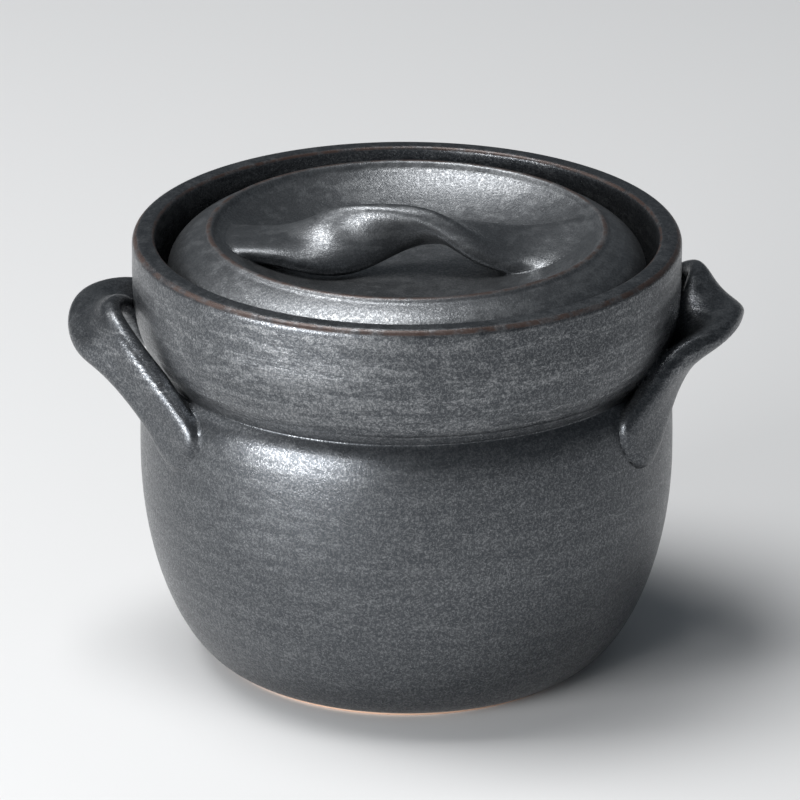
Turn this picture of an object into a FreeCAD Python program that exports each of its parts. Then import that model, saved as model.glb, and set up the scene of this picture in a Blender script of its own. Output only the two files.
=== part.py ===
import FreeCAD
import Part

import math
import os

import Sketcher

# Earthenware rice pot for about three cups of rice. The pot stands on Z = 0 and is turned about Z.
# Its ears point along +X and -X. The lid drops into the deep collar and rests on a ledge inside it.

Vector = FreeCAD.Vector

# A name ending in "in" says how much nearer the axis a point is than the one it is measured from, and
# one ending in "rise" or "drop" how much higher or lower.
VESSEL_SIZES = (
    ("collar_radius", 100.1),
    ("belly_in", 2.3),
    ("belly_level", 78.0),
    ("neck_in", 7.1),
    ("neck_rise", 35.4),
    ("neck_groove", 1.0),
    ("neck_groove_height", 1.6),
    ("base_turn_in", 11.2),
    ("base_turn_level", 22.0),
    ("foot_in", 17.4),
    ("foot_height", 1.2),
    ("foot_ring_width", 9.0),
    ("foot_recess", 2.5),
    ("collar_upright_rise", 27.6),
    ("lip_rise", 20.6),
    ("lip_width", 8.3),
    ("lip_outer_round", 3.2),
    ("lip_inner_round", 1.8),
    ("ledge_drop", 34.6),
    ("ledge_width", 10.8),
    ("ledge_thickness", 5.5),
    ("wall", 7.9),
    ("floor_thickness", 9.0),
    ("floor_in", 11.2),
)

LID_SIZES = (
    ("lid_gap", 4.5),
    ("lid_side_height", 21.0),
    ("lid_shoulder_in", 3.9),
    ("lid_shoulder_rise", 7.0),
    ("ring_in", 11.6),
    ("ring_rise", 8.3),
    ("ring_round", 1.3),
    ("dish_drop", 16.8),
    ("dish_flat_in", 45.8),
    ("lid_wall", 7.0),
    ("lid_crown_in", 7.8),
    ("lid_crown_drop", 13.3),
    ("lid_crown_side", 15.0),
    ("skirt_clearance", 0.8),
    ("skirt_depth", 4.0),
    ("skirt_width", 6.0),
)

# Each ear is a flat strap of clay with a half turn in it. These are its marks from the front foot,
# over the outermost point, to the back foot: how far out from the belly, how far round from the ear's
# own centre line, how high over the foot's seat, the turn of the strap, and its half width and depth.
EAR_MARKS = (
    ("ear_front_foot", (-5.5, -32.3, -1.5, -87.0, 15.5, 4.4)),
    ("ear_front_rise", (0.9, -19.6, 16.7, -81.0, 13.2, 4.6)),
    ("ear_front_haunch", (7.7, -9.8, 26.6, -43.0, 11.9, 4.6)),
    ("ear_crown", (14.0, 0.0, 33.6, 7.0, 11.1, 4.4)),
    ("ear_back_haunch", (15.9, 9.5, 33.2, 56.0, 11.2, 4.3)),
    ("ear_back_fall", (8.0, 19.5, 23.4, 76.0, 10.9, 4.3)),
    ("ear_back_foot", (-5.3, 34.2, -2.2, 78.0, 14.5, 4.3)),
)
EAR_FIELDS = ("out", "round", "rise", "turn", "half_width", "half_depth")
EAR_SIZES = (("ear_seat_drop", 14.9), ("ear_count", 2.0), ("ear_sections", 15.0))

# The lid's handle is the same kind of strap, laid across the dish. Its marks run from left to right:
# along X as a share of the ring's radius, along Y, up from the dish, the turn, and the half width and
# depth.
GRIP_MARKS = (
    ("grip_left_foot", (-0.91, 4.5, 10.8, -90.0, 14.9, 3.1)),
    ("grip_left_rise", (-0.6, 1.9, 8.9, -82.0, 13.9, 4.7)),
    ("grip_left_crown", (-0.31, -0.3, 11.9, -33.0, 12.6, 4.9)),
    ("grip_middle", (0.04, 1.9, 16.2, 34.0, 9.7, 5.1)),
    ("grip_right_crown", (0.33, 3.8, 10.3, 93.0, 12.2, 5.6)),
    ("grip_right_fall", (0.61, 6.8, 5.3, 102.0, 14.9, 4.5)),
    ("grip_right_foot", (0.92, 5.2, 8.7, 106.0, 17.9, 2.9)),
)
GRIP_FIELDS = ("along", "across", "up", "turn", "half_width", "half_depth")
GRIP_SIZES = (("grip_sections", 15.0),)

# How far up the strap's depth its edge stays upright, and the bevels in a soft corner and a hollow.
BEVEL_SHARE = 0.35
CORNER_STEPS = 3
HOLLOW_STEPS = 4

# The directions, in degrees, of a profile's round corners, and where the ring's edge starts to turn.
DIRECTION = {"outward": 0.0, "upward": 90.0, "ring_start": 120.0, "inward": 180.0}

# A sketch's own two axes, and the places on one of its edges.
AXIS = {"level": -1, "upright": -2}
PLACE = {"start": 1, "end": 2, "centre": 3}


class Size:
    """A value together with the sheet expression that gives it."""

    def __init__(self, value, text):
        self.value = value
        self.text = text

    def __add__(self, other):
        return Size(self.value + other.value, f"({self.text} + {other.text})")

    def __sub__(self, other):
        return Size(self.value - other.value, f"({self.text} - {other.text})")

    def __mul__(self, share):
        return Size(self.value * share, f"{self.text} * {share:.6f}")


class Sheet:
    """The driving sizes, in a spreadsheet of the document."""

    def __init__(self, doc, rows):
        self.cells = doc.addObject("Spreadsheet::Sheet", "sizes")
        for number, (alias, value) in enumerate(rows, start=1):
            self.cells.set(f"A{number}", alias.replace("_", " "))
            self.cells.set(f"B{number}", str(value))
            self.cells.setAlias(f"B{number}", alias)
        doc.recompute()

    def __getitem__(self, alias):
        return Size(float(self.cells.get(alias)), f"sizes.{alias}")

    def number(self, alias):
        return self[alias].value


class Marks:
    """The radii and levels that the wall, the ears and the lid share, as (radius, level) points."""

    def __init__(self, sheet):
        collar = sheet["collar_radius"]
        self.belly = (collar - sheet["belly_in"], sheet["belly_level"])
        self.neck = (collar - sheet["neck_in"], self.belly[1] + sheet["neck_rise"])
        self.upright = (collar, self.neck[1] + sheet["collar_upright_rise"])
        self.lip = (collar, self.upright[1] + sheet["lip_rise"])
        self.bore = collar - sheet["lip_width"]
        self.ledge = (self.bore - sheet["ledge_width"], self.lip[1] - sheet["ledge_drop"])
        side = self.bore - sheet["lid_gap"]
        self.side_top = (side, self.ledge[1] + sheet["lid_side_height"])
        shoulder_level = self.side_top[1] + sheet["lid_shoulder_rise"]
        self.shoulder = (side - sheet["lid_shoulder_in"], shoulder_level)
        self.ring = (self.shoulder[0] - sheet["ring_in"], self.shoulder[1] + sheet["ring_rise"])
        self.dish = (self.ring[0] - sheet["dish_flat_in"], self.ring[1] - sheet["dish_drop"])


def mark_rows(marks, fields):
    """The rows of the sheet for a strap's marks, one for each field of each mark."""
    return [
        (f"{name}_{field}", value)
        for name, values in marks
        for field, value in zip(fields, values)
    ]


def plane(body, role):
    """One of the body's own origin planes."""
    return next(item for item in body.Origin.OriginFeatures if item.Role == role)


class Outline:
    """A closed profile in a body's XZ plane, drawn edge by edge through points (radius, level)."""

    def __init__(self, body, name, start):
        self.sketch = body.newObject("Sketcher::SketchObject", name)
        self.sketch.AttachmentSupport = [(plane(body, "XZ_Plane"), "")]
        self.sketch.MapMode = "FlatFace"
        self.start = start
        self.here = start
        self.heading = None
        self.first = None
        self.last = None

    def bind(self, kind, geometry, place, size):
        """Dimension one vertex from the axis or the base, bound to the sheet."""
        if size is None:
            axis = AXIS["upright"] if kind == "DistanceX" else AXIS["level"]
            self.sketch.addConstraint(Sketcher.Constraint("PointOnObject", geometry, place, axis))
            return
        origin = (AXIS["level"], PLACE["start"])
        rule = Sketcher.Constraint(kind, *origin, geometry, place, size.value)
        index = self.sketch.addConstraint(rule)
        self.sketch.setExpression(f"Constraints[{index}]", size.text)

    def pin(self, vertex, point):
        for kind, size in zip(("DistanceX", "DistanceY"), point):
            self.bind(kind, vertex[0], vertex[1], size)

    def join(self, near, far, end, tie):
        """Tie a new edge to the last one and pin its far end, or close the profile."""
        if self.last is None:
            self.pin(near, self.start)
            self.first = near
        else:
            self.sketch.addConstraint(Sketcher.Constraint(tie, *self.last, *near))
        if end is self.start:
            self.sketch.addConstraint(Sketcher.Constraint("Coincident", *far, *self.first))
        else:
            self.pin(far, end)
        self.last = far
        self.here = end

    def line(self, end):
        """A straight edge to a point."""
        near, far = flat(self.here), flat(end)
        geometry = self.sketch.addGeometry(Part.LineSegment(near, far), False)
        self.join((geometry, PLACE["start"]), (geometry, PLACE["end"]), end, "Coincident")
        self.heading = far - near

    def arc(self, centre, end, side, tie="Coincident"):
        """A round edge to a point about a centre. Side is 1 for a left turn and -1 for a right one."""
        near, far = flat(self.here), flat(end)
        circle = Part.Circle(centre, Vector(0, 0, 1), (near - centre).Length)
        ends = [math.atan2(point.y - centre.y, point.x - centre.x) for point in (near, far)]
        if side < 0:
            ends.reverse()
        geometry = self.sketch.addGeometry(Part.ArcOfCircle(circle, *ends), False)
        places = ["start", "end"] if side > 0 else ["end", "start"]
        near_end, far_end = [(geometry, PLACE[place]) for place in places]
        self.join(near_end, far_end, end, tie)
        spoke = far - centre
        self.heading = Vector(-spoke.y, spoke.x, 0.0) * side
        return geometry

    def swell(self, end, side, level_with):
        """A round edge to a point, upright at the height of a third point."""
        middle, across = bisector(flat(self.here), flat(end))
        centre = middle + across * ((level_with[1].value - middle.y) / across.y)
        geometry = self.arc(centre, end, side)
        self.bind("DistanceY", geometry, PLACE["centre"], level_with[1])

    def follow(self, end, side):
        """A round edge to a point that carries on smoothly from the last edge."""
        near = flat(self.here)
        spoke = Vector(-self.heading.y, self.heading.x, 0.0).normalize()
        chord = flat(end) - near
        reach = chord.Length ** 2 / (2.0 * chord.dot(spoke))
        self.arc(near + spoke * reach, end, side, "Tangent")

    def soften(self, centre, radius, first, last):
        """A small round in short bevels about a centre, between two named directions."""
        begin, end = DIRECTION[first], DIRECTION[last]
        for step in range(CORNER_STEPS + 1):
            turn = math.radians(begin + (end - begin) * step / CORNER_STEPS)
            self.line((centre[0] + radius * math.cos(turn), centre[1] + radius * math.sin(turn)))

    def dip(self, end):
        """A hollow to a point, level at its start and steeper like a parabola, in even bevels."""
        begin = self.here
        for step in range(1, HOLLOW_STEPS):
            share = step / HOLLOW_STEPS
            radius = begin[0] + (end[0] - begin[0]) * share
            self.line((radius, begin[1] + (end[1] - begin[1]) * share ** 2))
        self.line(end)

    def bow(self, end):
        """A wall to a point, upright at its start and leaning like a cubic, in even bevels."""
        begin = self.here
        for step in range(1, HOLLOW_STEPS):
            share = step / HOLLOW_STEPS
            level = begin[1] + (end[1] - begin[1]) * share
            self.line((begin[0] + (end[0] - begin[0]) * share ** 3, level))
        self.line(end)

    def turn(self, body, kind, name):
        """Turn the closed profile once round the Z axis, as material or as a hollow."""
        feature = body.newObject(kind, name)
        feature.Profile = self.sketch
        feature.ReferenceAxis = (self.sketch, ["V_Axis"])
        feature.Angle = 360.0


def flat(point):
    """A profile point as a sketch vector, with no value standing for zero."""
    return Vector(*[0.0 if size is None else size.value for size in point], 0.0)


def bisector(near, far):
    """The middle of a chord and the direction square to it."""
    chord = far - near
    return (near + far) * 0.5, Vector(-chord.y, chord.x, 0.0).normalize()


def strap(body, name, marks, sections, facing):
    """A strap of bevelled section, lofted along a smooth path through its marks.

    Each mark is (centre, turn, half width, half depth). The turn is measured about the path, from the
    direction that facing gives at a centre towards the path's right hand.
    """
    path = Part.BSplineCurve()
    shares = [index / (len(marks) - 1) for index in range(len(marks))]
    path.interpolate(Points=[mark[0] for mark in marks], Parameters=shares)
    blend = [smooth(shares, [mark[field] for mark in marks]) for field in (1, 2, 3)]
    sketches = []
    for index in range(sections):
        share = index / (sections - 1)
        centre = path.value(share)
        ahead = path.tangent(share)[0]
        turn, half_width, half_depth = [rule(share) for rule in blend]
        level = facing(centre)
        level = (level - ahead * ahead.dot(level)).normalize()
        right = ahead.cross(level)
        wide = level * math.cos(math.radians(turn)) + right * math.sin(math.radians(turn))
        frame = FreeCAD.Rotation(wide, ahead.cross(wide), ahead, "ZXY")
        section = bevelled_bar(body, f"{name}_{index + 1}", half_width, half_depth)
        section.Placement = FreeCAD.Placement(centre, frame)
        sketches.append(section)
    loft = body.newObject("PartDesign::AdditiveLoft", name)
    loft.Profile = sketches[0]
    loft.Sections = sketches[1:]


def outward(centre):
    """Away from the pot's axis."""
    return Vector(centre.x, centre.y, 0.0).normalize()


def upward(centre):
    """Straight up, at any centre."""
    return Vector(0.0, 0.0, 1.0)


def smooth(shares, values):
    """A function that passes smoothly through the values at the given shares of the path."""
    rule = Part.BSplineCurve()
    points = [Vector(share, value, 0.0) for share, value in zip(shares, values)]
    rule.interpolate(Points=points, Parameters=shares)
    return lambda share: rule.value(share).y


def bevelled_bar(body, name, half_width, half_depth):
    """The section of a strap: a flat bar with its long edges bevelled twice."""
    section = body.newObject("Sketcher::SketchObject", name)
    face = half_width - half_depth
    edge = half_depth * BEVEL_SHARE
    quarter = [(face, half_depth), (half_width, edge)]
    upper = [(-x, y) for x, y in reversed(quarter)] + quarter
    ring = [Vector(x, y, 0.0) for x, y in upper + [(-x, -y) for x, y in upper]]
    for near, far in zip(ring, ring[1:] + ring[:1]):
        section.addGeometry(Part.LineSegment(near, far), False)
    return section


def turned_mark(sheet, marks, name, centre_line):
    """One mark of an ear, set out round the pot from the ear's own centre line."""
    out, around, rise, turn, half_width, half_depth = [
        sheet.number(f"{name}_{field}") for field in EAR_FIELDS
    ]
    radius = marks.belly[0].value + out
    angle = math.radians(centre_line + around)
    level = marks.neck[1].value - sheet.number("ear_seat_drop") + rise
    centre = Vector(radius * math.cos(angle), radius * math.sin(angle), level)
    return centre, turn, half_width, half_depth


def crossed_mark(sheet, marks, name):
    """One mark of the lid's handle, set out across the dish."""
    along, across, up, turn, half_width, half_depth = [
        sheet.number(f"{name}_{field}") for field in GRIP_FIELDS
    ]
    centre = Vector(along * marks.ring[0].value, across, marks.dish[1].value + up)
    return centre, turn, half_width, half_depth


def make_vessel(doc, sheet, marks):
    """The pot: one thrown wall from foot to lip, two twisted ears, and the hollow turned out last."""
    body = doc.addObject("PartDesign::Body", "pot_body")
    body.Label = "pot_body"

    base_turn = (marks.belly[0] - sheet["base_turn_in"], sheet["base_turn_level"])
    foot = base_turn[0] - sheet["foot_in"]
    recess = sheet["foot_recess"]
    ring_inside = foot - sheet["foot_ring_width"]
    lip_top = marks.lip[1]
    outer_round = sheet["lip_outer_round"]
    neck = marks.neck
    groove_top = neck[1] + sheet["neck_groove_height"]

    wall = Outline(body, "outer_profile", neck)
    wall.swell(base_turn, -1, marks.belly)
    wall.follow((foot, sheet["foot_height"]), -1)
    wall.line((foot, None))
    wall.line((ring_inside, None))
    wall.line((ring_inside - recess, recess))
    wall.line((None, recess))
    wall.line((None, lip_top))
    lip_centre = (marks.lip[0] - outer_round, lip_top - outer_round)
    wall.soften(lip_centre, outer_round, "upward", "outward")
    wall.line(marks.upright)
    wall.swell((neck[0], groove_top + sheet["neck_groove_height"]), -1, marks.upright)
    wall.line((neck[0] - sheet["neck_groove"], groove_top))
    wall.line(neck)
    doc.recompute()
    wall.turn(body, "PartDesign::Revolution", "outer_wall")
    doc.recompute()

    for number in range(int(sheet.number("ear_count"))):
        centre_line = 360.0 * number / sheet.number("ear_count")
        path = [turned_mark(sheet, marks, name, centre_line) for name, _ in EAR_MARKS]
        strap(body, f"ear_{number + 1}", path, int(sheet.number("ear_sections")), outward)
        doc.recompute()

    thickness = sheet["wall"]
    inner_belly = (marks.belly[0] - thickness, marks.belly[1])
    floor = sheet["floor_thickness"]
    inner_round = sheet["lip_inner_round"]
    hollow = Outline(body, "hollow_profile", inner_belly)
    hollow.bow((foot - sheet["floor_in"], floor))
    hollow.line((None, floor))
    hollow.line((None, lip_top))
    mouth_centre = (marks.bore + inner_round, lip_top - inner_round)
    hollow.soften(mouth_centre, inner_round, "upward", "inward")
    hollow.line((marks.bore, marks.ledge[1]))
    hollow.line(marks.ledge)
    hollow.line((marks.ledge[0], marks.ledge[1] - sheet["ledge_thickness"]))
    hollow.line((neck[0] - thickness, neck[1] - thickness))
    hollow.line(inner_belly)
    doc.recompute()
    hollow.turn(body, "PartDesign::Groove", "hollow")
    doc.recompute()
    return body


def make_lid(doc, sheet, marks):
    """The lid: a deep drop-in plug with a dished top, a raised ring edge and a strap handle."""
    body = doc.addObject("PartDesign::Body", "lid")
    body.Label = "lid"

    seat = marks.ledge[1]
    side = marks.side_top[0]
    skirt = marks.ledge[0] - sheet["skirt_clearance"]
    skirt_end = seat - sheet["skirt_depth"]
    ring_round = sheet["ring_round"]
    ring_centre = (marks.ring[0], marks.ring[1] - ring_round)
    dish_level = marks.dish[1]

    top = Outline(body, "outer_profile", marks.dish)
    top.dip((ring_centre[0] - ring_round, ring_centre[1]))
    top.soften(ring_centre, ring_round, "ring_start", "outward")
    top.line(marks.shoulder)
    top.line(marks.side_top)
    top.line((side, seat))
    top.line((skirt, seat))
    top.line((skirt, skirt_end))
    top.line((None, skirt_end))
    top.line((None, dish_level))
    top.line(top.start)
    doc.recompute()
    top.turn(body, "PartDesign::Revolution", "outer_wall")
    doc.recompute()

    path = [crossed_mark(sheet, marks, name) for name, _ in GRIP_MARKS]
    strap(body, "grip", path, int(sheet.number("grip_sections")), upward)
    doc.recompute()

    thickness = sheet["lid_wall"]
    skirt_bore = skirt - sheet["skirt_width"]
    ceiling = dish_level - thickness
    inner_side = side - thickness
    crown = (marks.ring[0] - sheet["lid_crown_in"], marks.ring[1] - sheet["lid_crown_drop"])
    under = Outline(body, "hollow_profile", (marks.dish[0], ceiling))
    under.dip(crown)
    under.line((inner_side, seat + sheet["lid_crown_side"]))
    under.line((inner_side, seat + sheet["skirt_depth"]))
    under.line((skirt_bore, seat))
    under.line((skirt_bore, skirt_end))
    under.line((None, skirt_end))
    under.line((None, ceiling))
    under.line(under.start)
    doc.recompute()
    under.turn(body, "PartDesign::Groove", "hollow")
    doc.recompute()
    return body


def check(doc, bodies):
    """Stop if any feature failed or any sub-part has no valid solid."""
    for item in doc.Objects:
        if "Invalid" in item.State or "Error" in item.State:
            raise RuntimeError(f"{item.Name} did not build: {item.State}")
    for body in bodies:
        shape = body.Shape
        if shape.isNull() or not shape.isValid() or len(shape.Solids) != 1:
            raise RuntimeError(f"{body.Label} is not one valid solid")
        print(f"{body.Label}: {shape.Volume / 1000:.1f} cm3")


def main():
    doc = FreeCAD.newDocument("rice_pot")
    rows = list(VESSEL_SIZES + LID_SIZES + EAR_SIZES + GRIP_SIZES)
    rows += mark_rows(EAR_MARKS, EAR_FIELDS) + mark_rows(GRIP_MARKS, GRIP_FIELDS)
    sheet = Sheet(doc, rows)
    marks = Marks(sheet)
    bodies = [make_vessel(doc, sheet, marks), make_lid(doc, sheet, marks)]
    doc.recompute()
    check(doc, bodies)
    os.makedirs("parts", exist_ok=True)
    for body in bodies:
        body.Shape.exportStep(os.path.join("parts", f"{body.Label}.step"))


main()
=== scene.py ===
"""A dark glazed rice pot with twisted strap handles, standing on a pale studio floor.

Lengths in the properties are in metres. The pot stands on Z = 0 and is turned about Z; its ears point
along +X and -X, and the camera looks along +Y from above.
"""

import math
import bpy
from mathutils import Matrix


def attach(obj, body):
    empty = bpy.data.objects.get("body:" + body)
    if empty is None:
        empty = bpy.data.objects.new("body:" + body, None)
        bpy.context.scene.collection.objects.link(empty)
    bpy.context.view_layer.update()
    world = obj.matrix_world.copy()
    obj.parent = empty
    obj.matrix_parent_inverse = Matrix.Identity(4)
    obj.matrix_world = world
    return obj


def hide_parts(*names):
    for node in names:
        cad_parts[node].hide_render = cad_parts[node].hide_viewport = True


bl_info = {
    "name": "Glazed rice pot",
    "version": (1, 0, 0),
    "blender": (4, 5, 0),
    "location": "View3D > Sidebar > Rice pot",
    "description": "Builds a thrown rice pot with its lid, glaze and studio",
    "category": "Object",
}

import bpy
import numpy as np
from bpy.props import FloatProperty, FloatVectorProperty, IntProperty, PointerProperty
from mathutils import Matrix, Vector

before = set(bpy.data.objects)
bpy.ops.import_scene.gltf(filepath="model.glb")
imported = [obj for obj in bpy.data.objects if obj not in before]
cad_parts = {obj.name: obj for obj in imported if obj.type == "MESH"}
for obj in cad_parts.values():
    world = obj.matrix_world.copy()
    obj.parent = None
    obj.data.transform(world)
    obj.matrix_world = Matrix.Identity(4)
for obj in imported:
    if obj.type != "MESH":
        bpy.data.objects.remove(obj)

MM = 0.001

# Steps round a turned wall, and the room round a strap in which its wall is looked at, in millimetres.
COLUMNS = 300
STRAP_ROOM = 24.0

# A strap's ends run on by this share of its path, and never close to less than the root of LEAST_LEFT.
TONGUE = 0.03
LEAST_LEFT = 0.0004

# How a surface is moved onto a fillet: the number of steps, the length a slope is measured over, the
# longest step, the least slope squared, how deep in the other surface a point is still moved as a share
# of the reach, and how fast the surface goes under past the middle.
FILLET_STEPS = 4
FILLET_PROBE = 0.02
FILLET_STRIDE = 1.5
FILLET_SLOPE = 0.3
FILLET_DEPTH = 0.6
FILLET_DIVE = 0.08

# Levels between which the glaze changes: into the collar, out of its throwing lines, and off the foot.
COLLAR_START = (0.116, 0.121)
LINES_END = (0.140, 0.158)
FOOT_LINE = (0.0009, 0.0013)

# The lamps: place, the direction their width is laid along, width and height, all facing LAMP_AIM.
LAMPS = {
    "key": ((-1.85, 0.35, 1.55), (0.0, 1.0, 0.0), 1.5, 1.3),
    "top": ((-0.65, 0.05, 2.3), (1.0, 0.0, 0.0), 1.4, 0.9),
    "front": ((-1.1, -1.09, 0.3), (0.7, -0.71, 0.0), 0.95, 0.52),
}
LAMP_AIM = (0.0, 0.0, 0.09)
FLOOR_REACH = 6.0
ROOM_COLOUR = (0.8, 0.9, 1.0, 1.0)


def length(text, millimetres):
    """A length property, given in millimetres and kept in metres."""
    return FloatProperty(
        name=text.split(",")[0].capitalize(),
        description=text,
        default=millimetres * MM,
        unit="LENGTH",
        precision=5,
    )


def number(text, value):
    """A plain number property."""
    return FloatProperty(name=text.split(",")[0].capitalize(), description=text, default=value)


def colour(text, value):
    """A colour property."""
    return FloatVectorProperty(
        name=text.split(",")[0].capitalize(), description=text, default=value, size=3, subtype="COLOR"
    )


class PotSizes(bpy.types.PropertyGroup):
    """Sizes of the thrown wall."""

    foot_radius: length("Foot radius, outside of the standing ring", 69.2)
    foot_inside: length("Foot inside radius, where the recess starts", 60.2)
    foot_recess: length("Foot recess, height of the underside", 2.5)
    belly_radius: length("Belly radius, at the widest level", 97.8)
    belly_level: length("Belly level, where the pot is widest", 78.0)
    neck_radius: length("Neck radius, at the bottom of the groove", 91.7)
    neck_level: length("Neck level, of the groove", 115.4)
    collar_radius: length("Collar radius, of the upright part", 99.9)
    lip_top: length("Lip top, the level of the rim", 161.6)
    lip_width: length("Lip width, between the bore and the outside", 8.3)
    ledge_level: length("Ledge level, that the lid rests on", 127.0)
    ledge_radius: length("Ledge radius, of its opening", 81.0)
    wall: length("Wall thickness, of the belly", 7.9)
    floor: length("Floor thickness, inside the foot", 9.0)
    ring_height: length("Throwing ring height, from hollow to ridge", 0.14)
    wobble: length("Wobble, how far the wall is off true", 0.12)


class LidSizes(bpy.types.PropertyGroup):
    """Sizes of the lid."""

    side_radius: length("Side radius, of the upright wall", 87.2)
    side_top: length("Side top, where the shoulder starts", 148.0)
    ring_radius: length("Ring radius, of the raised edge", 71.8)
    ring_top: length("Ring top, level of the raised edge", 163.4)
    dish_level: length("Dish level, of the middle", 146.5)
    skirt_radius: length("Skirt radius, of the part inside the ledge", 80.2)
    skirt_bottom: length("Skirt bottom, level of its end", 123.0)
    thickness: length("Thickness, of the lid", 7.0)


class StrapLook(bpy.types.PropertyGroup):
    """How the clay straps are shaped and joined."""

    squareness: number("Squareness, power of the section's outline", 2.6)
    ear_hollow: number("Ear hollow, how much thinner an ear is along its middle", 0.20)
    grip_hollow: number("Grip hollow, how much thinner the lid handle is along its middle", 0.12)
    ear_fillet: length("Ear fillet, clay smoothed round an ear's feet", 2.0)
    grip_fillet: length("Grip fillet, clay smoothed round the lid handle's feet", 1.3)
    sunk: length("Sunk, how deep a foot is pressed into the wall", 3.5)
    along: IntProperty(name="Along", description="Steps along a strap", default=150)
    around: IntProperty(name="Around", description="Steps round a strap's section", default=52)


class GlazeLook(bpy.types.PropertyGroup):
    """Colours and sizes of the glaze and the bare clay."""

    dark: colour("Dark glaze, between the crystals", (0.055, 0.060, 0.067))
    silver: colour("Silver glaze, of the crystals", (0.34, 0.35, 0.36))
    roughness: number("Roughness, of the glaze", 0.30)
    collar_mottle: number("Collar mottle, strength of the lighter patches on the collar", 0.26)
    belly_mottle: number("Belly mottle, strength of the lighter patches everywhere", 0.14)
    # Painted sheen: lifts the lid's colour toward silver, standing in for the brighter light on the lid,
    # and softens its gloss.
    lid_painted_sheen: number("Lid sheen, share of crystals that the lid has more", 0.22)
    rust: colour("Rust, where the glaze runs thin at an edge", (0.050, 0.026, 0.018))
    clay: colour("Clay, of the bare foot", (0.62, 0.42, 0.31))
    grain: length("Grain, of the crystals", 1.0)
    patch: length("Patch, of the mottling", 6.0)


class StageLook(bpy.types.PropertyGroup):
    """Camera, lights and floor."""

    lens: number("Lens, focal length in millimetres", 270.0)
    pitch: number("Pitch, of the camera below level, in degrees", 22.0)
    roll: number("Roll, of the camera, in degrees", 0.15)
    camera_side: length("Camera side, offset along X", -2.39)
    camera_back: length("Camera back, distance along -Y", 2043.0)
    camera_up: length("Camera up, level", 921.0)
    floor_colour: colour("Floor colour, of the paper sweep", (0.80, 0.80, 0.80))
    key_power: number("Key power, of the large light at the left, in watts", 8.0)
    top_power: number("Top power, of the light overhead, in watts", 41.0)
    front_power: number("Front power, of the low light at the front left, in watts", 33.0)
    sky: number("Sky, strength of the room's light", 0.11)


# ---------------------------------------------------------------- surfaces


def bezier(poles, steps):
    """Points of a cubic curve: the sum of the four poles weighted by the Bernstein polynomials."""
    t = np.linspace(0.0, 1.0, steps + 1)[:, None]
    p = np.asarray(poles, float)
    return (
        p[0] * (1 - t) ** 3 + 3 * p[1] * t * (1 - t) ** 2 + 3 * p[2] * t**2 * (1 - t) + p[3] * t**3
    )


class Outline:
    """A profile in the plane of radius and level, in millimetres, added to stretch by stretch."""

    def __init__(self, start):
        self.parts = [np.array([start], float)]

    def end(self):
        return self.parts[-1][-1]

    def line(self, point, steps):
        t = np.linspace(0.0, 1.0, steps + 1)[1:, None]
        self.parts.append(self.end() * (1 - t) + np.asarray(point, float) * t)
        return self

    def curve(self, first, second, last, steps):
        self.parts.append(bezier([self.end(), first, second, last], steps)[1:])
        return self

    def corner(self, point, last, steps):
        """A rounded corner, a curve drawn to its sharp point and on to the next stretch."""
        a, b, c = self.end(), np.asarray(point, float), np.asarray(last, float)
        return self.curve(a + (b - a) * 0.6, c + (b - c) * 0.6, c, steps)

    def points(self):
        return np.concatenate(self.parts)


def spline(knots, values, at):
    """A natural cubic spline: second slopes solve the tridiagonal system of equal first slopes."""
    x, y = np.asarray(knots, float), np.asarray(values, float)
    y = y.reshape(len(x), -1)
    h = np.diff(x)
    n = len(x)
    system = np.eye(n)
    right = np.zeros_like(y)
    for i in range(1, n - 1):
        system[i, i - 1 : i + 2] = h[i - 1], 2 * (h[i - 1] + h[i]), h[i]
        right[i] = 6 * ((y[i + 1] - y[i]) / h[i] - (y[i] - y[i - 1]) / h[i - 1])
    bend = np.linalg.solve(system, right)
    k = np.clip(np.searchsorted(x, at, side="right") - 1, 0, n - 2)
    step = h[k][:, None]
    a = (x[k + 1] - at)[:, None] / step
    b = (at - x[k])[:, None] / step
    curve = (a**3 - a) * bend[k] + (b**3 - b) * bend[k + 1]
    return a * y[k] + b * y[k + 1] + curve * step**2 / 6


def unit(vectors):
    """Vectors scaled to length one."""
    return vectors / np.maximum(np.linalg.norm(vectors, axis=-1, keepdims=True), 1e-12)


def power(value, exponent):
    """A signed power, the sign kept and the size raised."""
    return np.sign(value) * np.abs(value) ** exponent


def turned(profile, angle):
    """A profile turned about Z: (r cos a, r sin a, z) for every angle a and profile point (r, z)."""
    ring = np.stack([np.cos(angle), np.sin(angle)], -1)
    flat = profile[:, None, :1] * ring[None]
    level = np.broadcast_to(profile[:, None, 1:], flat.shape[:2] + (1,))
    return np.concatenate([flat, level], -1)


def crowded(segments, middle, spread, weight):
    """Angles round a full turn, closer together about some middle angles: equal steps of the running
    sum of one plus a bell curve about each middle."""
    angle = np.linspace(0.0, 2 * math.pi, 2049)
    density = np.ones_like(angle)
    for place in middle:
        away = np.angle(np.exp(1j * (angle - math.radians(place))))
        density += weight * np.exp(-((away / math.radians(spread)) ** 2))
    total = np.concatenate([[0.0], np.cumsum((density[1:] + density[:-1]) / 2)])
    return np.interp(np.arange(segments) / segments, total / total[-1], angle)


def grid_faces(rows, columns):
    """Quads of a grid that closes on itself round its columns."""
    row = np.arange(rows - 1)[:, None] * columns
    column = np.arange(columns)[None]
    following = (column + 1) % columns
    above = row + columns
    corners = (row + column, row + following, above + following, above + column)
    return np.stack(corners, -1).reshape(-1, 4)


def cap_faces(ring, pole, outward):
    """Triangles from a ring of vertices to one pole."""
    following = np.roll(ring, -1)
    pair = (ring, following) if outward else (following, ring)
    return np.stack([*pair, np.full(len(ring), pole)], -1)


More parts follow.
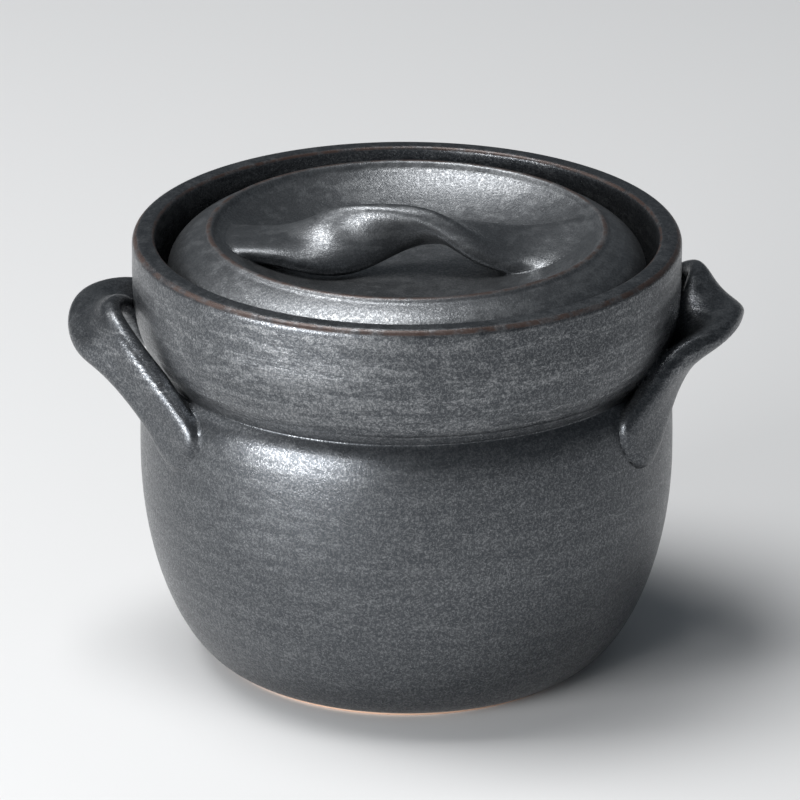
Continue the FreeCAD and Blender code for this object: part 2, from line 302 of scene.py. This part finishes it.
def tube_shell(grid):
    """Vertices and faces of a closed surface: the grid, and a pole in the middle of each end."""
    rows, columns = grid.shape[:2]
    points = grid.reshape(-1, 3)
    poles = np.stack([grid[0].mean(0), grid[-1].mean(0)])
    start = np.arange(columns)
    low = cap_faces(start, len(points), False)
    high = cap_faces(start + (rows - 1) * columns, len(points) + 1, True)
    return np.concatenate([points, poles]), grid_faces(rows, columns), np.concatenate([low, high])


def signed_volume(points, faces):
    """A sixth of the sum of the triple products of every triangle's corners."""
    first, second, third = (points[faces[:, corner]] for corner in range(3))
    total = (first * np.cross(second, third)).sum()
    if faces.shape[1] == 4:
        total += (first * np.cross(third, points[faces[:, 3]])).sum()
    return total / 6.0


def mesh_object(name, shells):
    """One smooth-shaded object from closed grids in millimetres, each turned to face outwards."""
    points, faces = [], []
    count = 0
    for grid in shells:
        vertices, quads, triangles = tube_shell(grid)
        if signed_volume(vertices, quads) + signed_volume(vertices, triangles) < 0.0:
            quads, triangles = quads[:, ::-1], triangles[:, ::-1]
        points.append(vertices)
        faces += [quads + count, triangles + count]
        count += len(vertices)
    points = np.concatenate(points) * MM
    loops = np.concatenate([face.reshape(-1) for face in faces])
    sizes = np.concatenate([np.full(len(face), face.shape[1]) for face in faces])
    mesh = bpy.data.meshes.new(name)
    mesh.vertices.add(len(points))
    mesh.vertices.foreach_set("co", points.reshape(-1))
    mesh.loops.add(len(loops))
    mesh.loops.foreach_set("vertex_index", loops.astype(np.int32))
    mesh.polygons.add(len(sizes))
    mesh.polygons.foreach_set("loop_start", (np.cumsum(sizes) - sizes).astype(np.int32))
    mesh.polygons.foreach_set("use_smooth", np.ones(len(sizes), bool))
    mesh.update(calc_edges=True)
    mesh.validate()
    item = bpy.data.objects.new(name, mesh)
    bpy.context.scene.collection.objects.link(item)
    return item


# ---------------------------------------------------------------- straps

# Marks of an ear, from its front foot over its crown to its back foot: the share of the way along, how
# far out from the belly, how far round from the ear's own centre line, how high over its seat, the turn
# of the strap from outward, and its half width and half depth, in millimetres and degrees.
EAR_MARKS = (
    (0.0, -1.0, -33.2, 0.6, -93.0, 14.8, 4.4),
    (0.08, -0.6, -26.6, 8.6, -89.0, 13.6, 5.3),
    (0.1667, 0.5, -19.6, 16.8, -80.0, 12.9, 5.8),
    (0.3333, 7.9, -9.8, 26.2, -44.0, 13.3, 5.7),
    (0.5, 13.4, 0.0, 33.4, 7.0, 11.9, 4.9),
    (0.6667, 15.6, 9.5, 33.0, 56.0, 12.2, 4.8),
    (0.8333, 8.1, 19.5, 23.8, 77.0, 11.2, 5.3),
    (0.92, 1.2, 27.6, 11.0, 85.0, 11.8, 5.2),
    (1.0, -1.2, 34.4, -0.4, 90.0, 14.4, 4.5),
)

# The level of an ear's seat, in millimetres.
EAR_SEAT = 98.5

# Marks of the lid's handle from left to right: the share of the way along, then along X as a share of
# the ring's radius, along Y, up from the dish, the turn of the strap from upright, and its half width
# and half depth.
GRIP_MARKS = (
    (0.0, -0.91, 4.5, 9.6, -90.0, 14.9, 3.2),
    (0.1667, -0.6, 1.9, 8.9, -82.0, 13.9, 4.7),
    (0.3333, -0.31, -0.3, 11.9, -33.0, 12.6, 4.9),
    (0.5, 0.04, 1.9, 16.2, 34.0, 9.5, 5.1),
    (0.6667, 0.33, 3.8, 10.3, 93.0, 12.2, 5.6),
    (0.8333, 0.61, 6.8, 5.3, 102.0, 14.9, 4.5),
    (1.0, 0.92, 5.2, 8.2, 106.0, 17.9, 3.0),
)


def outward(points):
    """Away from the pot's axis."""
    return unit(points * np.array([1.0, 1.0, 0.0]))


def upward(points):
    """Straight up."""
    return np.broadcast_to(np.array([0.0, 0.0, 1.0]), points.shape)


def left_over(way, exponent):
    """What is left of a size some way into a rounded end: the root of one less a power of the way."""
    return np.sqrt(np.clip(1.0 - np.maximum(way, 0.0) ** exponent, LEAST_LEFT, 1.0))


class Strap:
    """A flat strap of clay along a smooth path.

    Every station has a centre, the directions ahead, wide and deep, a half width and a half depth. The
    turn of the strap is measured from where facing points. Both ends run on a little past the last mark
    and close like a tongue, the width starting sooner than the depth.
    """

    def __init__(self, knots, centres, shape, facing, look, hollow):
        evenly = np.linspace(0.0, 1.0, look.along)
        at = (0.5 - 0.5 * np.cos(math.pi * evenly)) * (1.0 + 2.0 * TONGUE) - TONGUE
        self.squareness, self.hollow, self.around = look.squareness, hollow, look.around
        self.centre = spline(knots, centres, at)
        self.ahead = unit(np.gradient(self.centre, at, axis=0))
        level = facing(self.centre)
        level = unit(level - self.ahead * (self.ahead * level).sum(-1, keepdims=True))
        right = np.cross(self.ahead, level)
        turn, half_width, half_depth = spline(knots, shape, at).T
        turn = np.radians(turn)[:, None]
        self.wide = level * np.cos(turn) + right * np.sin(turn)
        self.deep = np.cross(self.ahead, self.wide)
        way = np.maximum(-at, at - 1.0) / TONGUE
        self.half_width = half_width * left_over(way * 0.3 + 0.7, 3)
        self.half_depth = half_depth * left_over(way, 2)

    def thinning(self, x):
        """How much of the full depth is left a share x of the half width from the middle."""
        return 1.0 - self.hollow * (1.0 - np.minimum(x**2, 1.0)) ** 2

    def surface(self):
        """Centre + wide x + deep y, with (x, y) a superellipse whose depth thins along its middle."""
        a = np.linspace(0.0, 2 * math.pi, self.around, endpoint=False)
        x, y = power(np.cos(a), 2 / self.squareness), power(np.sin(a), 2 / self.squareness)
        across = (self.half_width[:, None] * x)[..., None] * self.wide[:, None]
        through = (self.half_depth[:, None] * y * self.thinning(x))[..., None] * self.deep[:, None]
        return self.centre[:, None] + across + through

    def distance(self, points):
        """Signed distance of points: at the nearest place on the path, the section's own measure less
        one, over the slope of that measure, and the way past the ends."""
        halves = np.stack([self.half_width, self.half_depth], -1)
        stations = np.concatenate([self.centre, self.wide, self.deep, halves], -1)
        square = (self.centre**2).sum(-1) - 2.0 * points @ self.centre.T
        near = square.argmin(1)
        ahead = ((points - self.centre[near]) * self.ahead[near]).sum(-1)
        beside = np.clip(near + np.where(ahead > 0.0, 1, -1), 0, len(stations) - 1)
        step = np.abs(((self.centre[beside] - self.centre[near]) * self.ahead[near]).sum(-1))
        share = np.clip(np.abs(ahead) / np.maximum(step, 1e-6), 0.0, 1.0)[:, None]
        here = stations[near] * (1.0 - share) + stations[beside] * share
        off = points - here[:, :3]
        x = (off * here[:, 3:6]).sum(-1)
        y = (off * here[:, 6:9]).sum(-1)
        past = np.sqrt(np.maximum((off**2).sum(-1) - x**2 - y**2, 0.0))
        width = here[:, 9]
        depth = here[:, 10] * self.thinning(x / width)
        x, y = np.abs(x) / width, np.abs(y) / depth
        n = self.squareness
        measure = (x**n + y**n) ** (1.0 / n) + 1e-9
        slope = np.hypot(x ** (n - 1) / width, y ** (n - 1) / depth) / measure ** (n - 1)
        gap = (measure - 1.0) / np.maximum(slope, 1e-6)
        return np.where(gap > 0.0, np.hypot(gap, past), gap)


def joined(first, second, reach):
    """The smooth union of two distances: the lesser one, less (reach - their difference)^2 / 4 reach."""
    near = np.maximum(reach - np.abs(first - second), 0.0)
    return np.minimum(first, second) - near**2 / (4.0 * reach)


def run_together(grid, near, own, other, reach):
    """Moves a surface near another one onto their smooth union, by steps along its slope. Past the
    middle of the fillet it goes under by a square law, and there the other surface takes over."""
    flat = grid.reshape(-1, 3).copy()
    chosen = np.flatnonzero(near)
    gap = other(flat[chosen])
    chosen = chosen[(gap > -FILLET_DEPTH * reach) & (gap < reach)]

    def height(points):
        mine, theirs = own(points), other(points)
        under = FILLET_DIVE * np.maximum(mine - theirs, 0.0) ** 2
        return joined(mine, theirs, reach) + under

    moved = flat[chosen]
    for _ in range(FILLET_STEPS):
        here = height(moved)
        beside = [height(moved + step) - here for step in np.eye(3) * FILLET_PROBE]
        slope = np.stack(beside, -1) / FILLET_PROBE
        steep = np.maximum((slope**2).sum(-1), FILLET_SLOPE)
        moved = moved - slope * (np.clip(here, -FILLET_STRIDE, FILLET_STRIDE) / steep)[:, None]
    flat[chosen] = moved
    return flat.reshape(grid.shape)


def sink(grid, wall, facing, most):
    """Keeps a foot's clay no deeper in the wall than most."""
    flat = grid.reshape(-1, 3)
    deeper = np.maximum(-most - wall(flat), 0.0)
    return (flat + facing(flat) * deeper[:, None]).reshape(grid.shape)


def upright_wall(profile):
    """Signed distance from a turned wall: the radius less the wall's at that level, over the root of
    one plus its slope squared."""
    radii, levels = profile.T
    lean = np.gradient(radii, levels)

    def distance(points):
        level = points[:, 2]
        off = np.hypot(points[:, 0], points[:, 1]) - np.interp(level, levels, radii)
        return off / np.hypot(1.0, np.interp(level, levels, lean))

    return distance


def level_wall(profile):
    """Signed distance from a turned dish: the height over the dish at that radius, over the root of
    one plus its slope squared."""
    radii, levels = profile.T
    lean = np.gradient(levels, radii)

    def distance(points):
        radius = np.hypot(points[:, 0], points[:, 1])
        off = points[:, 2] - np.interp(radius, radii, levels)
        return off / np.hypot(1.0, np.interp(radius, radii, lean))

    return distance


def part_near(grid, strap, room):
    """Which points of a grid lie in the strap's own box, widened by some room."""
    low, high = strap.centre.min(0) - room, strap.centre.max(0) + room
    return ((grid > low) & (grid < high)).all(-1)


# ---------------------------------------------------------------- shader arithmetic


class Wire:
    """A shader socket that takes part in arithmetic."""

    def __init__(self, graph, socket):
        self.graph = graph
        self.socket = socket

    def maths(self, operation, *others):
        return self.graph.node("ShaderNodeMath", (self, *others), operation=operation)

    def __add__(self, other):
        return self.maths("ADD", other)

    def __sub__(self, other):
        return self.maths("SUBTRACT", other)

    def __mul__(self, other):
        return self.maths("MULTIPLY", other)

    def __pow__(self, other):
        return self.maths("POWER", other)

    def __rsub__(self, other):
        return self.graph.value(other).maths("SUBTRACT", self)

    __radd__ = __add__
    __rmul__ = __mul__

    def clamp(self):
        return self.graph.node("ShaderNodeClamp", (self, 0.0, 1.0))

    def ramp(self, low, high):
        """0 at low, 1 at high and smooth between."""
        sockets = (self, low, high, 0.0, 1.0)
        return self.graph.node("ShaderNodeMapRange", sockets, interpolation_type="SMOOTHSTEP")


class Graph:
    """A material's node tree."""

    def __init__(self, name):
        self.material = bpy.data.materials.new(name)
        self.material.use_nodes = True
        self.tree = self.material.node_tree
        self.tree.nodes.clear()

    def node(self, kind, sockets=(), named=None, out=0, **settings):
        """A node with its settings, its inputs filled in order or by name, and one output as a wire."""
        made = self.tree.nodes.new(kind)
        for key, value in settings.items():
            setattr(made, key, value)
        pairs = [(made.inputs[index], value) for index, value in enumerate(sockets)]
        pairs += [(made.inputs[key], value) for key, value in (named or {}).items()]
        for socket, value in pairs:
            if isinstance(value, Wire):
                self.tree.links.new(value.socket, socket)
            else:
                socket.default_value = value
        return Wire(self, made.outputs[out])

    def value(self, amount):
        made = self.tree.nodes.new("ShaderNodeValue")
        made.outputs[0].default_value = amount
        return Wire(self, made.outputs[0])

    def place(self):
        """The object coordinates in metres, as a vector and its three parts."""
        vector = self.node("ShaderNodeTexCoord", out="Object")
        parts = [self.node("ShaderNodeSeparateXYZ", (vector,), out=axis) for axis in "XYZ"]
        return vector, parts

    def stretched(self, vector, factors):
        return self.node("ShaderNodeVectorMath", (vector, Vector(factors)), operation="MULTIPLY")

    def noise(self, vector, size, detail, roughness):
        """Noise between 0 and 1 whose cells are size metres across."""
        named = {"Vector": vector, "Scale": 1.0 / size, "Detail": detail, "Roughness": roughness}
        return self.node("ShaderNodeTexNoise", named=named, out="Fac")

    def mix(self, share, first, second):
        """A blend of two colours."""
        made = self.tree.nodes.new("ShaderNodeMix")
        made.data_type = "RGBA"
        for name, value in (("Factor_Float", share), ("A_Color", first), ("B_Color", second)):
            socket = next(item for item in made.inputs if item.identifier == name)
            if isinstance(value, Wire):
                self.tree.links.new(value.socket, socket)
            elif name == "Factor_Float":
                socket.default_value = value
            else:
                socket.default_value = (*value, 1.0)
        result = next(item for item in made.outputs if item.identifier == "Result_Color")
        return Wire(self, result)

    def bump(self, height, distance):
        named = {"Height": height, "Distance": distance, "Strength": 1.0}
        return self.node("ShaderNodeBump", named=named, out="Normal")

    def surface(self, **inputs):
        """The principled surface, with inputs named with underscores for spaces."""
        named = {key.replace("_", " "): value for key, value in inputs.items()}
        shader = self.node("ShaderNodeBsdfPrincipled", named=named, out="BSDF")
        output = self.tree.nodes.new("ShaderNodeOutputMaterial")
        self.tree.links.new(shader.socket, output.inputs["Surface"])
        return self.material


def edge_ring(radius, level, ring, width):
    """1 on the circle of a turned edge, falling to 0 a width away from it."""
    away = ((radius - ring[0]) ** 2.0 + (level - ring[1]) ** 2.0) ** 0.5
    return 1.0 - away.ramp(width * 0.4, width)


def glaze_material(name, look, edges, painted_sheen, footed):
    """The metallic glaze: fine silver crystals in a dark ground, mottled in bands on the collar, thin
    and rusty at turned edges, and bare clay where the pot is wiped at its foot. Painted sheen lifts the
    colour toward silver, a painted highlight where the lid catches more light, and softens the gloss."""
    graph = Graph(name)
    vector, (x, y, z) = graph.place()
    radius = (x * x + y * y) ** 0.5
    fleck = graph.noise(vector, look.grain, 2.0, 0.55)
    fine = graph.noise(vector, look.grain * 0.45, 2.0, 0.6)
    patch = graph.noise(graph.stretched(vector, (1.0, 1.0, 2.0)), look.patch, 5.0, 0.66)
    turned_line = graph.noise(graph.stretched(vector, (0.06, 0.06, 1.0)), 0.0032, 3.0, 0.55)
    drift = graph.noise(vector, look.patch * 6.0, 2.0, 0.5)
    collar = z.ramp(*COLLAR_START)
    strength = collar * look.collar_mottle + look.belly_mottle
    mottle = (patch + (drift - 0.5) * 0.35 + (turned_line - 0.5) * 0.9).ramp(0.48, 0.60) * strength
    speck = (fleck * 0.45 + fine * 0.55).ramp(0.42, 0.66)
    # Painted sheen: on the lid the crystal share is raised, lightening its colour toward silver as a
    # painted highlight.
    crystals_and_painted_sheen = (painted_sheen + speck * (0.32 + strength * 0.3) + mottle * (0.3 + speck * 0.6)).clamp()
    tint = graph.mix(crystals_and_painted_sheen, look.dark, look.silver)
    metal = 0.8 + crystals_and_painted_sheen * 0.15
    rough = look.roughness + painted_sheen * 0.3 + (0.5 - speck) * 0.12 + (patch - 0.5) * 0.3
    for ring, width in edges:
        thin = edge_ring(radius, z, ring, width)
        chance = graph.noise(vector, 0.006, 3.0, 0.6).ramp(0.30, 0.62)
        worn = (thin * (0.25 + chance * 0.9)).clamp()
        tint = graph.mix(worn * 0.85, tint, look.rust)
        metal = metal * (1.0 - worn * 0.7)
    lines = (turned_line - 0.5) * collar * (1.0 - z.ramp(*LINES_END)) * 3.6
    normal = graph.bump(fleck * 0.7 + fine * 0.7 + lines, 0.0001)
    if footed:
        bare = 1.0 - z.ramp(*FOOT_LINE)
        tint = graph.mix(bare, tint, look.clay)
        metal = metal * (1.0 - bare)
        rough = rough + bare * 0.4
    return graph.surface(Base_Color=tint, Metallic=metal, Roughness=rough, Normal=normal)


def floor_material(name, shade):
    """Matt paper with the faintest grain."""
    graph = Graph(name)
    vector, _ = graph.place()
    tooth = graph.noise(vector, 0.002, 3.0, 0.5)
    tint = graph.mix(tooth * 0.04, shade, tuple(part * 0.9 for part in shade))
    return graph.surface(Base_Color=tint, Roughness=0.9 + tooth * 0.05)


# ---------------------------------------------------------------- pieces


def pot_profile(size):
    """The pot's wall from the middle of its underside, up the outside, over the lip and down inside."""
    s = {key: getattr(size, key) / MM for key in PotSizes.__annotations__}
    foot, ring, recess = s["foot_radius"], s["foot_inside"], s["foot_recess"]
    belly, widest, neck, groove = s["belly_radius"], s["belly_level"], s["neck_radius"], s["neck_level"]
    collar, lip = s["collar_radius"], s["lip_top"]
    bore = collar - s["lip_width"]
    ledge, mouth = s["ledge_level"], s["ledge_radius"]
    inner, floor = belly - s["wall"], s["floor"]
    shape = Outline((2.0, recess))
    shape.line((ring - recess - 1.0, recess), 8)
    shape.corner((ring - recess, recess), (ring - 1.6, 1.6), 3).corner((ring, 0.0), (ring + 0.8, 0.0), 3)
    shape.line((foot - 0.9, 0.0), 3).corner((foot - 0.2, 0.0), (foot - 0.2, 0.7), 4)
    shape.line((foot - 0.1, 1.1), 1).corner((foot + 0.5, 1.2), (foot + 1.2, 1.7), 3)
    shape.curve((foot + 12.0, 4.6), (belly, widest - 43.5), (belly, widest), 56)
    shape.curve((belly, widest + 24.0), (belly - 1.4, groove - 6.4), (belly - 4.3, groove - 2.4), 36)
    neck_end = (neck + 0.15, groove - 0.3)
    shape.curve((neck + 0.9, groove - 1.3), (neck + 0.4, groove - 0.9), neck_end, 5)
    shape.corner((neck, groove), (neck + 0.35, groove + 0.35), 3)
    shape.line((neck + 1.95, groove + 3.4), 4)
    shape.corner((neck + 2.0, groove + 3.75), (neck + 2.5, groove + 4.1), 3)
    shape.curve((neck + 5.8, groove + 9.6), (collar, groove + 17.0), (collar, groove + 29.0), 26)
    shape.line((collar, lip - 3.2), 10)
    shape.curve((collar, lip - 1.4), (collar - 1.3, lip), (collar - 3.2, lip), 9)
    shape.line((bore + 2.0, lip), 4)
    shape.curve((bore + 0.8, lip), (bore, lip - 0.8), (bore, lip - 2.2), 7)
    shape.line((bore, ledge + 1.0), 6).corner((bore, ledge), (bore - 1.0, ledge), 3)
    shape.line((mouth + 0.6, ledge), 4).corner((mouth, ledge), (mouth, ledge - 0.6), 3)
    shape.line((mouth, ledge - 5.0), 2)
    shape.curve((mouth + 4.0, ledge - 9.0), (inner, widest + 24.0), (inner, widest), 8)
    shape.curve((inner, widest - 40.0), (78.0, floor), (56.0, floor), 14)
    shape.line((2.0, floor), 4)
    return shape.points()


def lid_profile(size):
    """The lid from the middle of its hollow, down its skirt, up its side, over its ring to the dish."""
    s = {key: getattr(size, key) / MM for key in LidSizes.__annotations__}
    side, top, ring, crest = s["side_radius"], s["side_top"], s["ring_radius"], s["ring_top"]
    dish, skirt, bottom = s["dish_level"], s["skirt_radius"], s["skirt_bottom"]
    under, seat = dish - s["thickness"], bottom + 4.0
    shape = Outline((2.0, under)).line((26.0, under), 6)
    shape.curve((44.0, under), (56.0, crest - 17.0), (ring - 7.8, crest - 13.4), 12)
    shape.curve((ring + 2.0, crest - 10.5), (side - 7.2, top + 2.0), (side - 7.2, top - 6.0), 10)
    shape.line((side - 7.2, seat + 4.0), 5).line((skirt - 6.0, seat), 3)
    shape.line((skirt - 6.0, bottom + 0.6), 2)
    shape.corner((skirt - 6.0, bottom), (skirt - 5.4, bottom), 3)
    shape.line((skirt - 0.6, bottom), 2).corner((skirt, bottom), (skirt, bottom + 0.6), 3)
    shape.line((skirt, seat), 2).line((side - 0.8, seat), 3)
    shape.corner((side, seat), (side, seat + 0.8), 3).line((side, top - 1.0), 12)
    shape.curve((side, top + 6.5), (side - 6.0, crest - 4.6), (ring + 2.4, crest - 1.6), 26)
    shape.curve((ring + 1.6, crest - 1.2), (ring + 1.3, crest), (ring, crest), 6)
    shape.curve((ring - 1.3, crest), (ring - 1.5, crest - 1.2), (ring - 2.2, crest - 2.2), 6)
    shape.curve((ring - 12.0, crest - 10.0), (44.0, dish), (24.0, dish), 34)
    shape.line((2.0, dish), 9)
    return shape.points()


def throwing(grid, angle, size, calm):
    """Rings and wobble of the wheel: radius + rings(z) times a slow drift + low harmonics of the angle,
    all fading out at the foot, the lip and wherever calm is 0."""
    radius = np.hypot(grid[..., 0], grid[..., 1])
    level = grid[..., 2]
    outside = np.arange(len(grid)) < np.argmax(level[:, 0] > size.lip_top / MM - 1e-3)
    fade = np.clip((level - 8.0) / 12.0, 0, 1) * np.clip((156.0 - level) / 8.0, 0, 1)
    rings = np.sin(level * 1.55 + 0.9 * np.sin(angle + 0.6)) + np.sin(level * 0.93 + 1.4)
    soft = 0.55 + 0.45 * np.sin(2 * angle + level * 0.05)
    on_collar = np.where(level > size.neck_level / MM, 1.0, 0.45)
    shape = rings * soft * on_collar * size.ring_height / MM / 4.0
    slow = np.sin(2 * angle + 0.4) + 0.5 * np.sin(3 * angle + level * 0.03)
    shape = (shape + size.wobble / MM * slow) * fade * outside[:, None] * calm
    scale = (radius + shape) / np.maximum(radius, 1e-6)
    return grid * np.stack([scale, scale, np.ones_like(scale)], -1)


class RICEPOT_OT_pot(bpy.types.Operator):
    """Build the pot: its turned wall with the two twisted ears run into it"""

    bl_idname = "ricepot.pot"
    bl_label = "Build pot"
    bl_options = {"REGISTER", "UNDO"}

    def execute(self, context):
        scene = context.scene
        size, look = scene.ricepot_pot, scene.ricepot_strap
        profile = pot_profile(size)
        angle = crowded(COLUMNS, (-30, 30, 150, 210), 16.0, 1.6)
        wall = turned(profile, angle)
        top = int(np.argmax(profile[:, 1] > size.lip_top / MM - 1e-3))
        face = upright_wall(profile[:top][profile[:top, 1] > 3.0])
        reach = look.ear_fillet / MM
        knots, out, around, rise, *shape = np.array(EAR_MARKS).T
        radius = size.belly_radius / MM + out
        straps = []
        for centre_line in (0.0, 180.0):
            turn = np.radians(around + centre_line)
            centres = np.stack([radius * np.cos(turn), radius * np.sin(turn), rise + EAR_SEAT], -1)
            strap = Strap(knots, centres, np.stack(shape, -1), outward, look, look.ear_hollow)
            straps.append(strap)
        calm = np.ones(wall.shape[:2])
        nearby = []
        for strap in straps:
            near = part_near(wall, strap, STRAP_ROOM)
            near[top:] = False
            calm[near] = np.clip((strap.distance(wall[near]) - reach) / 8.0, 0.0, 1.0)
            nearby.append(near)
        wall = throwing(wall, angle, size, calm)
        ears = []
        for strap, near in zip(straps, nearby):
            wall = run_together(wall, near.reshape(-1), face, strap.distance, reach)
            ear = sink(strap.surface(), face, outward, look.sunk / MM)
            every = np.ones(ear.shape[0] * ear.shape[1], bool)
            ears.append(run_together(ear, every, strap.distance, face, reach))
        pot = mesh_object("glazed_pot", [wall, *ears])
        lip_edge = ((size.collar_radius - 0.9 * MM, size.lip_top - 0.9 * MM), 1.5 * MM)
        bore = size.collar_radius - size.lip_width
        bore_edge = ((bore + 0.6 * MM, size.lip_top - 0.6 * MM), 0.9 * MM)
        glaze = glaze_material("pot_glaze", scene.ricepot_glaze, (lip_edge, bore_edge), 0.0, True)
        pot.data.materials.append(glaze)
        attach(pot, "root")
        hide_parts("pot_body")
        return {"FINISHED"}


class RICEPOT_OT_lid(bpy.types.Operator):
    """Build the lid: its turned shell with the twisted handle run into the dish"""

    bl_idname = "ricepot.lid"
    bl_label = "Build lid"
    bl_options = {"REGISTER", "UNDO"}

    def execute(self, context):
        scene = context.scene
        size, look = scene.ricepot_lid, scene.ricepot_strap
        profile = lid_profile(size)
        shell = turned(profile, crowded(COLUMNS, (0, 180), 22.0, 1.2))
        crest = int(np.argmax(profile[:, 1]))
        dish = level_wall(profile[crest:][::-1])
        knots, along, across, up, *shape = np.array(GRIP_MARKS).T
        centres = np.stack([along * size.ring_radius / MM, across, up + size.dish_level / MM], -1)
        strap = Strap(knots, centres, np.stack(shape, -1), upward, look, look.grip_hollow)
        reach = look.grip_fillet / MM
        near = part_near(shell, strap, STRAP_ROOM)
        near[:crest] = False
        shell = run_together(shell, near.reshape(-1), dish, strap.distance, reach)
        grip = sink(strap.surface(), dish, upward, look.sunk / MM)
        every = np.ones(grip.shape[0] * grip.shape[1], bool)
        grip = run_together(grip, every, strap.distance, dish, reach)
        lid = mesh_object("glazed_lid", [shell, grip])
        edge = ((size.ring_radius + 0.2 * MM, size.ring_top - 0.5 * MM), 1.3 * MM)
        gloss = scene.ricepot_glaze
        # The lid gets the painted sheen, a lighter colour that stands in for the brighter light on it.
        glaze = glaze_material("lid_glaze", gloss, (edge,), gloss.lid_painted_sheen, False)
        lid.data.materials.append(glaze)
        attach(lid, "root")
        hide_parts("lid")
        return {"FINISHED"}


def area_light(name, place, along, width, height, watts):
    """A rectangular light that faces the pot, with its width laid along a direction."""
    data = bpy.data.lights.new(name, "AREA")
    data.shape = "RECTANGLE"
    data.size, data.size_y = width, height
    data.energy = watts
    back = (Vector(place) - Vector(LAMP_AIM)).normalized()
    across = (Vector(along) - back * back.dot(Vector(along))).normalized()
    frame_of_light = Matrix((across, back.cross(across), back)).transposed().to_4x4()
    item = bpy.data.objects.new(name, data)
    item.matrix_world = Matrix.Translation(place) @ frame_of_light
    bpy.context.scene.collection.objects.link(item)


class RICEPOT_OT_stage(bpy.types.Operator):
    """Build the stage: floor, lights, world and camera"""

    bl_idname = "ricepot.stage"
    bl_label = "Build stage"
    bl_options = {"REGISTER", "UNDO"}

    def execute(self, context):
        scene = context.scene
        look = scene.ricepot_stage
        mesh = bpy.data.meshes.new("floor")
        signs = ((-1, -1), (1, -1), (1, 1), (-1, 1))
        corners = [(x * FLOOR_REACH, y * FLOOR_REACH, 0.0) for x, y in signs]
        mesh.from_pydata(corners, [], [(0, 1, 2, 3)])
        floor = bpy.data.objects.new("floor", mesh)
        scene.collection.objects.link(floor)
        floor.data.materials.append(floor_material("paper", tuple(look.floor_colour)))
        for name, (place, along, width, height) in LAMPS.items():
            area_light(name, place, along, width, height, getattr(look, name + "_power"))
        world = bpy.data.worlds.new("room")
        world.use_nodes = True
        backdrop = world.node_tree.nodes["Background"].inputs
        backdrop["Color"].default_value = ROOM_COLOUR
        backdrop["Strength"].default_value = look.sky
        scene.world = world
        scene.view_settings.view_transform = "Standard"
        data = bpy.data.cameras.new("camera")
        data.lens, data.sensor_width = look.lens, 36.0
        data.clip_start, data.clip_end = 0.1, 20.0
        camera = bpy.data.objects.new("camera", data)
        tilt = Matrix.Rotation(math.radians(90.0 - look.pitch), 4, "X")
        tilt = tilt @ Matrix.Rotation(math.radians(look.roll), 4, "Z")
        place = Vector((look.camera_side, -look.camera_back, look.camera_up))
        camera.matrix_world = Matrix.Translation(place) @ tilt
        scene.collection.objects.link(camera)
        scene.camera = camera
        return {"FINISHED"}


class RICEPOT_PT_panel(bpy.types.Panel):
    """Sizes, glaze and stage of the rice pot"""

    bl_idname = "RICEPOT_PT_panel"
    bl_label = "Rice pot"
    bl_space_type = "VIEW_3D"
    bl_region_type = "UI"
    bl_category = "Rice pot"

    def draw(self, context):
        for name, group in GROUPS.items():
            box = self.layout.box()
            for key in group.__annotations__:
                box.prop(getattr(context.scene, name), key)
        for operator in OPERATORS:
            self.layout.operator(operator.bl_idname)


GROUPS = {
    "ricepot_pot": PotSizes,
    "ricepot_lid": LidSizes,
    "ricepot_strap": StrapLook,
    "ricepot_glaze": GlazeLook,
    "ricepot_stage": StageLook,
}
OPERATORS = (RICEPOT_OT_pot, RICEPOT_OT_lid, RICEPOT_OT_stage)


def register():
    for group in GROUPS.values():
        bpy.utils.register_class(group)
    for name, group in GROUPS.items():
        setattr(bpy.types.Scene, name, PointerProperty(type=group))
    for item in (*OPERATORS, RICEPOT_PT_panel):
        bpy.utils.register_class(item)


def unregister():
    for item in (RICEPOT_PT_panel, *reversed(OPERATORS)):
        bpy.utils.unregister_class(item)
    for name in GROUPS:
        delattr(bpy.types.Scene, name)
    for group in reversed(GROUPS.values()):
        bpy.utils.unregister_class(group)


def main():
    """Builds every piece."""
    register()
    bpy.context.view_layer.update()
    bpy.ops.ricepot.pot()
    bpy.ops.ricepot.lid()
    bpy.ops.ricepot.stage()


if __name__ == "__main__":
    main()
